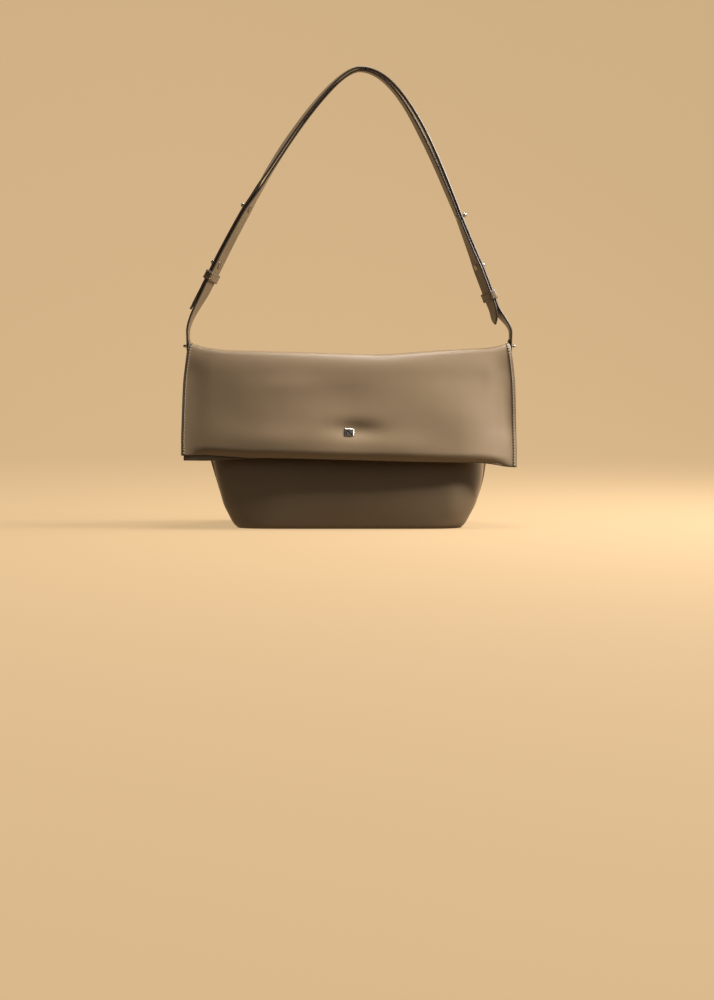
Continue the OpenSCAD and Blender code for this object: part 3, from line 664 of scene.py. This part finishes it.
skin_normal = grid_normals(outer_skin)
seams = []
for sense, first, second in ((1, 1, 2), (-1, -2, -3)):
    line = 0.4 * outer_skin[:, first] + 0.6 * outer_skin[:, second]
    seams.append(seam_stitches(line[6:], skin_normal[6:, first], 3.1, 2.5, 0.50, 14.0 * sense))
side_stitching = solid_piece("side_stitching", seams, [THREAD, NEEDLE_HOLE_SHADE])
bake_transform(side_stitching)

# ---------------------------------------------------------------- badge and snap
# A plain bright plate with softened edges sits in the middle of the flap, over the snap that holds
# it down. The snap's halves and washers are turned from satin nickel.

NICKEL = plain("satin_nickel", (0.32, 0.30, 0.27), 0.30, metallic=1.0, scale=1400.0, vary=0.10)


def dress(node, material):
    """Gives a carried-over node its material."""
    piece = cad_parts[node]
    piece.data.materials.clear()
    piece.data.materials.append(material)


for node in ("badge_washer", "snap_socket", "snap_socket_washer", "snap_stud", "snap_stud_washer"):
    dress(node, NICKEL)


def rounded(width, height, radius, steps=7):
    """Outline of a rounded rectangle, walked anticlockwise."""
    a = np.linspace(0, np.pi / 2, steps)
    points = []
    for k, (sx, sy) in enumerate(((1, 1), (-1, 1), (-1, -1), (1, -1))):
        middle = np.array([sx * (width / 2 - radius), sy * (height / 2 - radius)])
        turn = a + k * np.pi / 2
        points.append(middle + radius * np.stack([np.cos(turn), np.sin(turn)], axis=1))
    return np.concatenate(points)


def placed(part, origin, x, y, z, number=0):
    """A part's points moved into the frame origin, x, y, z."""
    points, faces = part
    return np.asarray(origin) + points @ np.array([x, y, z], float), faces, number


def skin_frame(skin, normal, x, z, rows):
    """Place and axes (right, up, outwards) on a grid of skin, at the point nearest to x and z."""
    near = (skin[rows, :, 0] - x) ** 2 + (skin[rows, :, 2] - z) ** 2
    j, i = np.unravel_index(np.argmin(near), near.shape)
    origin, out = skin[rows][j, i].copy(), normal[rows][j, i]
    right = unit(np.array([1.0, 0, 0]) - out * out[0])
    up = np.cross(out, right)
    origin[0] = x
    return origin, right, up, out


flap_rows = slice(len(outer_skin) - len(outer_w), len(outer_skin))
seat, right, up, out = skin_frame(outer_skin, skin_normal, 0.0, SNAP_Z, flap_rows)
PLATE_W, PLATE_H, PLATE_ROUND = 10.0, 9.4, 1.4
PLATE_LEVELS = [(0.1, -0.3), (0, 0.0), (0, 0.65), (0.12, 0.85), (0.4, 1.0), (1.3, 1.12), (2.6, 1.16)]
plate = stack(rounded(PLATE_W, PLATE_H, PLATE_ROUND), PLATE_LEVELS)
badge = solid_piece("plain_badge", [placed(plate, seat, right, up, out)], [NICKEL])
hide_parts("badge_plate")
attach(badge, "flap")

# ---------------------------------------------------------------- side tabs and anchors
# At each end of the fold a leather tab grips the sewn edge and stands up beside it. A stud through
# the tab carries the strap's end, and a slotted screw closes it from the inside.

STRAP_Y, ANCHOR_Z, TAB_T, PIVOT_GAP = FOLD_R, 185.5, 1.4, 0.15
STRAP_W, STRAP_T, LAYER_GAP, TAB_W = 19.0, 2.3, 0.2, 14.0
TAB_X = POUCH_W / 2
STRAP_IN_X = TAB_X + TAB_T + PIVOT_GAP
STRAP_OUT_X = STRAP_IN_X + STRAP_T
STUD_X = STRAP_OUT_X + PIVOT_GAP
GRIP_GAP, GRIP_W, ANCHOR_BALL = 0.15, SEAM_W - 0.3, 0.68
BEVEL = [(0.45, 0), (0.13, 0.12), (0, 0.4)]


def slab(outline, thick):
    """A leather piece with softened edges, thick high."""
    return stack(outline, BEVEL + [(i, thick - h) for i, h in BEVEL[::-1]])


def circle(radius, count=40):
    """Points round a circle, walked anticlockwise: radius * (cos a, sin a)."""
    a = np.linspace(0, 2 * np.pi, count + 1)[:-1]
    return np.stack([radius * np.cos(a), radius * np.sin(a)], axis=1)


FLANGE_R, NECK_R, BALL_R, BALL_Z, SLEEVE_R, SLOT_HALF = 3.4, 1.5, 2.4, 3.44, 1.8, 0.442
BALL = np.radians(np.linspace(-51, 86, 14))
STUD_LEVELS = [
    (0.2, 0), (0, 0.15), (0, 0.6), (0.25, 0.8), (FLANGE_R - NECK_R - 0.05, 0.95), (FLANGE_R - NECK_R, 1.3),
] + [(FLANGE_R - BALL_R * np.cos(a), BALL_Z + BALL_R * np.sin(a)) for a in BALL]


def stud_parts(origin, x, y, z, grip, tall=1.0):
    """Ball stud seated at origin with z outwards and tall as its scale, its sleeve, and grip below
    it the screw's head: a disc with two raised segments that leave a slot between them."""
    sleeve = stack(circle(SLEEVE_R, 24), [(0, -grip), (0, 0.2)])
    disc = stack(circle(FLANGE_R), [(0, -grip - 0.4), (0, -grip)])
    corner = np.arcsin(SLOT_HALF / FLANGE_R)
    a = np.linspace(corner, np.pi - corner, 22)
    half = np.stack([FLANGE_R * np.cos(a), FLANGE_R * np.sin(a)], axis=1)
    raised = stack(half, [(0.3, -grip - 0.9), (0.08, -grip - 0.8), (0, -grip - 0.6), (0, -grip - 0.35)])
    turned = (raised[0] * np.array([-1, -1, 1]), raised[1])
    ball = stack(circle(FLANGE_R), STUD_LEVELS)
    ball = ball[0] * tall, ball[1]
    return [placed(part, origin, x, y, z) for part in (sleeve, disc, raised, turned, ball)]


for sense, name in ((-1, "left"), (1, "right")):
    a = np.linspace(-0.12, np.pi + 0.12, 26)
    leg = LEATHER_T + GRIP_GAP + TAB_T
    outline = np.concatenate([
        np.stack([TAB_W / 2 * np.cos(a), ANCHOR_Z + TAB_W / 2 * np.sin(a)], axis=1),
        [[-leg, FOLD_Z], [-leg, FOLD_Z - SIDE_EDGE], [leg, FOLD_Z - SIDE_EDGE], [leg, FOLD_Z]],
    ])
    axes = (0, sense, 0), (0, 0, 1), (sense, 0, 0)
    parts = [placed(slab(outline, TAB_T), (sense * TAB_X, STRAP_Y, 0), *axes)]
    grip = rounded(GRIP_W, SIDE_EDGE, 0.6, 4)
    for s in (-1, 1):
        middle = (sense * (TAB_X - GRIP_W / 2), STRAP_Y + s * (LEATHER_T + GRIP_GAP), FOLD_Z - SIDE_EDGE / 2)
        parts.append(placed(slab(grip, TAB_T), middle, (-s, 0, 0), (0, 0, 1), (0, s, 0)))
    tab = solid_piece("strap_tab_" + name, parts, [BODY_LEATHER])
    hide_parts("side_tab_" + name)
    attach(tab, "pouch")
    origin = (sense * STUD_X, STRAP_Y, ANCHOR_Z)
    parts = stud_parts(origin, *axes, STUD_X - TAB_X, ANCHOR_BALL)
    anchor = solid_piece("anchor_ball_stud_" + name, parts, [NICKEL])
    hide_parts("anchor_stud_" + name, "anchor_screws")
    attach(anchor, "pouch")

# ---------------------------------------------------------------- strap
# Two layers of stout leather with painted edges. The inner one hangs from the left anchor, the
# outer one from the right anchor, and each ends as a loose round tail past the far keeper. Both
# limbs twist a little, and between the upper studs the layers part.

STRAP_LEATHER = leather("strap_leather", (0.172, 0.112, 0.052, 1), 1300.0, 0.12, 0.38, 0.00008, 0.06)
STRAP_EDGE = leather("strap_edge", (0.072, 0.050, 0.032, 1), 900.0, 0.10, 0.40, 0.00001, 0.0)
HALF_GAP, END_R, FOOT_R, JOINED_Z = LAYER_GAP / 2, STRAP_W / 2, 7.0, 275.0
LEFT_LEAN, RIGHT_LEAN = np.radians(27.0), np.radians(21.3)
LEFT_DIR = np.array([np.sin(LEFT_LEAN), np.cos(LEFT_LEAN)])
RIGHT_DIR = np.array([-np.sin(RIGHT_LEAN), np.cos(RIGHT_LEAN)])
LEFT_KEEPER, RIGHT_KEEPER = np.array([-142.6, 257.0]), np.array([145.3, 237.0])
LEFT_LOW, LEFT_HIGH = LEFT_KEEPER - 16 * LEFT_DIR, LEFT_KEEPER + 18 * LEFT_DIR
RIGHT_LOW, RIGHT_HIGH = RIGHT_KEEPER - 9 * RIGHT_DIR, RIGHT_KEEPER + 41 * RIGHT_DIR
ARCH_TOP, UP = np.array([11.0, 468.0]), np.array([0.0, 1.0])
LEFT_FOOT = np.array([-STRAP_OUT_X - HALF_GAP, ANCHOR_Z + END_R + 4])
RIGHT_FOOT = np.array([STRAP_IN_X - HALF_GAP, ANCHOR_Z + END_R + 4])
LEFT_TAIL, RIGHT_TAIL = LEFT_KEEPER - 38.75 * LEFT_DIR, RIGHT_KEEPER - 28.75 * RIGHT_DIR


def bezier(a, b, c, d, count=60):
    """Cubic Bezier curve: it leaves a towards b and comes to d from c."""
    t = np.linspace(0, 1, count)[:, None]
    return (1 - t) ** 3 * a + 3 * (1 - t) ** 2 * t * b + 3 * (1 - t) * t * t * c + t**3 * d


LEFT_RISE = bezier(LEFT_FOOT, LEFT_FOOT + 14 * UP, LEFT_LOW - 14 * LEFT_DIR, LEFT_LOW)
RIGHT_FALL = bezier(RIGHT_LOW, RIGHT_LOW - 12 * RIGHT_DIR, RIGHT_FOOT + 9 * UP, RIGHT_FOOT)
LEFT_ARCH = bezier(LEFT_HIGH, LEFT_HIGH + 100 * LEFT_DIR, ARCH_TOP - [30, 0], ARCH_TOP, 101)
RIGHT_ARCH = bezier(ARCH_TOP, ARCH_TOP + [45, 0], RIGHT_HIGH + 110 * RIGHT_DIR, RIGHT_HIGH, 106)
LEFT_END, RIGHT_END = [LEFT_FOOT[0], ANCHOR_Z - FOOT_R], [RIGHT_FOOT[0], ANCHOR_Z - FOOT_R]
LEFT_STEP, RIGHT_STEP = 20, 90
LEFT_STUDS = [LEFT_KEEPER + 14 * LEFT_DIR, LEFT_ARCH[LEFT_STEP]]
RIGHT_STUDS = [RIGHT_KEEPER + 32.5 * RIGHT_DIR, RIGHT_ARCH[RIGHT_STEP]]
LEFT_TWIST, RIGHT_TWIST, LEFT_HIGH_TWIST, RIGHT_HIGH_TWIST = -18, -20, -13, -2

# Along the strap: place, twist of the inner and of the outer layer in degrees, and how far their
# front edges part
STRAP_STATES = [
    (LEFT_FOOT + [0, 5], 0, 14, 0), (LEFT_LOW, LEFT_TWIST, LEFT_TWIST, 0),
    (LEFT_STUDS[0] + 6 * LEFT_DIR, LEFT_TWIST, LEFT_TWIST, 0),
    (LEFT_STUDS[1], LEFT_HIGH_TWIST, LEFT_HIGH_TWIST, 0), (np.array([-99, 334]), -6, -4, 0.1),
    (np.array([-90, 349]), 0, 4, 1.1), (np.array([-82, 362]), 4, 13, 0.1), (np.array([-66, 386]), 7, 17, 0),
    (np.array([-23, 444]), 10, 15, 0), (ARCH_TOP, 8, 11, 0), (np.array([40, 456]), 1, 5, 0.8),
    (np.array([75, 406]), -6, 2, 1.7), (np.array([104, 345]), -6, 0, 0.5),
    (RIGHT_STUDS[1], -4, RIGHT_HIGH_TWIST, 0), (RIGHT_HIGH, -14, -14, 0),
    (RIGHT_STUDS[0] + 2 * RIGHT_DIR, RIGHT_TWIST, RIGHT_TWIST, 0), (RIGHT_LOW, RIGHT_TWIST, RIGHT_TWIST, 0),
    (RIGHT_TAIL, -9, -9, 0), (RIGHT_FOOT + [0, 5], 0, 0, 0),
]


def strap_line(points, step=1.6):
    """A path walked in even steps, closer over its two round ends. Returns its points, its outer
    normals, the length walked to each point and the whole length."""
    run = np.concatenate([[0], np.cumsum(np.linalg.norm(np.diff(points, axis=0), axis=1))])

    def along(where):
        return np.stack([np.interp(where, run, points[:, k]) for k in range(2)], axis=1)

    near = END_R * (1 - np.cos(np.linspace(0, np.pi / 2, 9)))
    middle = np.arange(END_R + step, run[-1] - END_R - step / 2, step)
    at = np.concatenate([near, middle, run[-1] - near[::-1]])
    v = unit(along(at + 2) - along(at - 2))
    return along(at), np.stack([-v[:, 1], v[:, 0]], axis=1), at, run[-1]


def strap_state(p, column):
    """Value of one column of STRAP_STATES along the path p: straight from place to place, then
    averaged over 9 points, which leaves the long even stretches as they are."""
    spots = [int(np.argmin(np.linalg.norm(p - s[0], axis=1))) for s in STRAP_STATES]
    keep = [k for k in range(len(spots)) if k == 0 or spots[k] > max(spots[:k])]
    values = [STRAP_STATES[k][column] for k in keep]
    line = np.interp(np.arange(len(p)), [spots[k] for k in keep], values)
    return np.convolve(np.pad(line, 4, mode="edge"), np.ones(9) / 9, mode="valid")


def across_axes(normal, twist):
    """Unit directions across the strap and out of its face, turned by the twist about the path."""
    n3 = np.stack([normal[..., 0], 0 * normal[..., 0], normal[..., 1]], axis=-1)
    c, s = np.cos(np.radians(twist))[..., None], np.sin(np.radians(twist))[..., None]
    y = np.array([0.0, 1.0, 0.0])
    return y * c + n3 * s, n3 * c - y * s


def strap_layer(name, points, side, tail):
    """One layer: side is 1 for the outer and -1 for the inner one. The layers part above JOINED_Z.
    tail is (side of the bag, height, run, distance): the loose tail bends away by the distance below
    that height. The ends are half circles of the half width that each place has."""
    p, normal, at, length = strap_line(points)
    x, z = p.T
    under, over = strap_state(p, 1), strap_state(p, 2)
    part = strap_state(p, 3) + END_R * (np.sin(np.radians(over)) - np.sin(np.radians(under)))
    part = part * ease((z - JOINED_Z) / 20)
    sense, start, run, away = tail
    shift = side * part / 2 + away * ease((start - z) / run) * (sense * x > 0)
    wide, out = across_axes(normal, over if side > 0 else under)
    none = np.zeros(len(p))
    path = np.stack([x, none + STRAP_Y, z], axis=1)
    middle = path + np.stack([normal[:, 0], none, normal[:, 1]], axis=1) * shift[:, None]
    middle = middle + out * side * (HALF_GAP + STRAP_T / 2)
    end = np.minimum(at, length - at)
    half = END_R - (END_R - FOOT_R) * (1 - ease((z - ANCHOR_Z - 3) / 16))
    reach = np.sqrt(np.maximum(half**2 - np.maximum(half - end, 0) ** 2, 4.0)) - STRAP_T / 2
    v = np.linspace(-1, 1, 11)
    skin = (middle + out * STRAP_T / 2)[:, None] + wide[:, None] * (v[None, :, None] * reach[:, None, None])
    layer = sheet_mesh(name, skin, STRAP_T, [STRAP_LEATHER, STRAP_EDGE], round_steps=4)
    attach(layer, "strap")
    return layer


inner_path = np.concatenate([[LEFT_END], LEFT_RISE, LEFT_ARCH, RIGHT_ARCH[1:], [RIGHT_TAIL]])
inner_layer = strap_layer("strap_inner_layer", inner_path, -1, (1, 226.0, 20.0, -3.4))
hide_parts("strap_inner")
outer_path = np.concatenate([[LEFT_TAIL], LEFT_ARCH, RIGHT_ARCH[1:], RIGHT_FALL, [RIGHT_END]])
outer_layer = strap_layer("strap_outer_layer", outer_path, 1, (-1, 246.0, 26.0, 3.6))
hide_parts("strap_outer")

# ---------------------------------------------------------------- strap studs
# Two ball studs a side pass through both layers at right angles to their twisted faces, each with
# its slotted screw on the inside.


def strap_frame(spot, ahead, twist):
    """Axes along the strap, across it and out of its face, at a place on the path."""
    wide, out = across_axes(np.array([-ahead[1], ahead[0]]), np.float64(twist))
    return np.array([spot[0], STRAP_Y, spot[1]]), np.array([ahead[0], 0, ahead[1]]), wide, out


LEFT_AHEAD = unit(LEFT_ARCH[LEFT_STEP + 1] - LEFT_ARCH[LEFT_STEP - 1])
RIGHT_AHEAD = unit(RIGHT_ARCH[RIGHT_STEP + 1] - RIGHT_ARCH[RIGHT_STEP - 1])
for name, spot, ahead, twist in (
    ("left_lower", LEFT_STUDS[0], LEFT_DIR, LEFT_TWIST),
    ("left_upper", LEFT_STUDS[1], LEFT_AHEAD, LEFT_HIGH_TWIST),
    ("right_lower", RIGHT_STUDS[0], -RIGHT_DIR, RIGHT_TWIST),
    ("right_upper", RIGHT_STUDS[1], RIGHT_AHEAD, RIGHT_HIGH_TWIST),
):
    origin, x, y, z = strap_frame(spot, ahead, twist)
    face = HALF_GAP + STRAP_T
    parts = stud_parts(origin + z * face, x, y, z, 2 * face)
    stud = solid_piece("ball_stud_" + name, parts, [NICKEL])
    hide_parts("strap_stud_" + name, "strap_screws")
    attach(stud, "strap")

# ---------------------------------------------------------------- keepers
# Two leather loops slide on the doubled strap. Each has painted rims and a row of stitches along
# both rims.


def keeper_parts(spot, ahead, twist):
    """Loop of section 1.5 x 9.5 mm with rounded rims, swept round a rounded rectangle."""
    origin, x, y, z = strap_frame(spot, ahead, twist)
    hole_w, hole_h, thick, long = STRAP_W + 0.5, 2 * STRAP_T + 0.8, 1.5, 9.5
    ring = rounded(hole_w + thick, hole_h + thick, thick / 2 + 0.6, 6)
    turn = unit(np.roll(ring, -1, axis=0) - np.roll(ring, 1, axis=0))
    outward = np.stack([turn[:, 1], -turn[:, 0]], axis=1)
    section = rounded(long, thick, 0.7, 5)
    n, m = len(ring), len(section)
    flat = ring[:, None] + outward[:, None] * section[None, :, 1:]
    along = np.broadcast_to(section[None, :, 0], (n, m))
    points = origin + along[..., None] * x + flat[..., :1] * y + flat[..., 1:] * z
    ends = np.abs(section[:, 0]) > long / 2 - 0.5
    tone = (ends & np.roll(ends, -1)).astype(int).tolist() * n
    parts = [(points.reshape(-1, 3), band_faces(n, m, closed=True), tone)]
    for row in (-3.0, 3.0):
        loop = ring + outward * thick / 2
        line = origin + row * x + loop[:, :1] * y + loop[:, 1:] * z
        normal = outward[:, :1] * y + outward[:, 1:] * z
        order = np.r_[0:n, 0]
        points, faces, number = seam_stitches(line[order], normal[order], 2.6, 2.0, 0.24, 0)
        parts.append((points, faces, [k + 2 for k in number]))
    return parts


for name, spot, ahead, twist in (
    ("left", LEFT_KEEPER, LEFT_DIR, LEFT_TWIST), ("right", RIGHT_KEEPER, -RIGHT_DIR, RIGHT_TWIST),
):
    parts = keeper_parts(spot, ahead, twist)
    keeper = solid_piece("leather_keeper_" + name, parts, [STRAP_LEATHER, STRAP_EDGE, THREAD, NEEDLE_HOLE_SHADE])
    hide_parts("keeper_" + name)
    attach(keeper, name + "_keeper")

# ---------------------------------------------------------------- studio
# A plain pale floor that sweeps up into a backdrop, one soft lamp high at the right and one
# overhead, a weak fill in front, and a camera a little above the fold line.


def sweep():
    """Floor and backdrop as one sheet: a straight floor, a quarter circle and an upright wall. Seen
    by the camera it is pale, and it throws only a little light back on the bag."""
    x = np.linspace(-4000, 4000, 41)
    floor = np.stack([np.linspace(-3200, 1200, 30), np.zeros(30)], axis=1)
    a = np.linspace(0, np.pi / 2, 16)[1:]
    bend = np.stack([1200 + 800 * np.sin(a), 800 * (1 - np.cos(a))], axis=1)
    wall = np.stack([np.full(12, 2000), np.linspace(800, 3600, 13)[1:]], axis=1)
    line = np.concatenate([floor, bend, wall])
    p = np.zeros((len(line), len(x), 3))
    p[..., 0], p[..., 1], p[..., 2] = x[None, :], line[:, :1], line[:, 1:]
    ids = np.arange(len(line) * len(x)).reshape(len(line), len(x))
    faces = np.stack([ids[:-1, :-1], ids[:-1, 1:], ids[1:, 1:], ids[1:, :-1]], axis=2).reshape(-1, 4)
    material, nodes, join, pale = new_material("studio_floor")
    for socket, value in (
        ("Base Color", (0.16, 0.11, 0.06, 1)), ("Emission Color", (1.0, 0.69, 0.374, 1)),
        ("Emission Strength", 0.60), ("Roughness", 0.9), ("Specular IOR Level", 0.1),
    ):
        pale.inputs[socket].default_value = value
    dim = add_node(nodes, "ShaderNodeBsdfDiffuse", {"Color": (0.035, 0.025, 0.017, 1)})
    path, mix = nodes.new("ShaderNodeLightPath"), nodes.new("ShaderNodeMixShader")
    seen, more = (add_node(nodes, "ShaderNodeMath", operation="MAXIMUM") for _ in range(2))
    join(path.outputs["Is Camera Ray"], seen.inputs[0])
    join(path.outputs["Is Glossy Ray"], seen.inputs[1])
    join(seen.outputs["Value"], more.inputs[0])
    join(path.outputs["Is Transmission Ray"], more.inputs[1])
    join(more.outputs["Value"], mix.inputs["Fac"])
    join(dim.outputs["BSDF"], mix.inputs[1])
    join(pale.outputs["BSDF"], mix.inputs[2])
    join(mix.outputs["Shader"], nodes["Material Output"].inputs["Surface"])
    return mesh_piece("studio_floor", p.reshape(-1, 3), faces.tolist(), [material])


sweep()


def lamp(name, place, aim, size, power, colour):
    """Square soft lamp at place that faces aim."""
    data = bpy.data.lights.new(name, "AREA")
    data.shape, data.size, data.energy, data.color = "SQUARE", size, power, colour
    piece = bpy.data.objects.new(name, data)
    ahead = np.array(aim, float) - np.array(place, float)
    ahead /= np.linalg.norm(ahead)
    piece.location = place
    piece.rotation_euler = (np.arccos(-ahead[2]), 0, np.arctan2(-ahead[0], ahead[1]))
    bpy.context.scene.collection.objects.link(piece)


lamp("key_lamp", (0.66, 0.0, 0.70), (0.0, -0.03, 0.11), 0.30, 18, (1.0, 0.985, 0.97))
lamp("front_fill", (0.3, -1.9, 0.75), (0, 0, 0.15), 0.9, 0.15, (1.0, 0.94, 0.84))
lamp("top_lamp", (0.12, 0.10, 1.45), (0, 0, 0.2), 0.4, 14, (1.0, 0.97, 0.93))

world = bpy.data.worlds.new("studio")
bpy.context.scene.world = world
world.use_nodes = True
sky = world.node_tree.nodes["Background"]
sky.inputs["Color"].default_value = (1.0, 0.93, 0.82, 1)
sky.inputs["Strength"].default_value = 0.13

eye = bpy.data.cameras.new("camera")
eye.sensor_fit, eye.sensor_height, eye.lens = "VERTICAL", 36, 52.92
camera = bpy.data.objects.new("camera", eye)
camera.location = (0.008, -1.530, 0.1514)
camera.rotation_euler = (np.radians(90 - 4.706), 0, 0)
bpy.context.scene.collection.objects.link(camera)
bpy.context.scene.camera = camera
bpy.context.scene.view_settings.view_transform = "Standard"
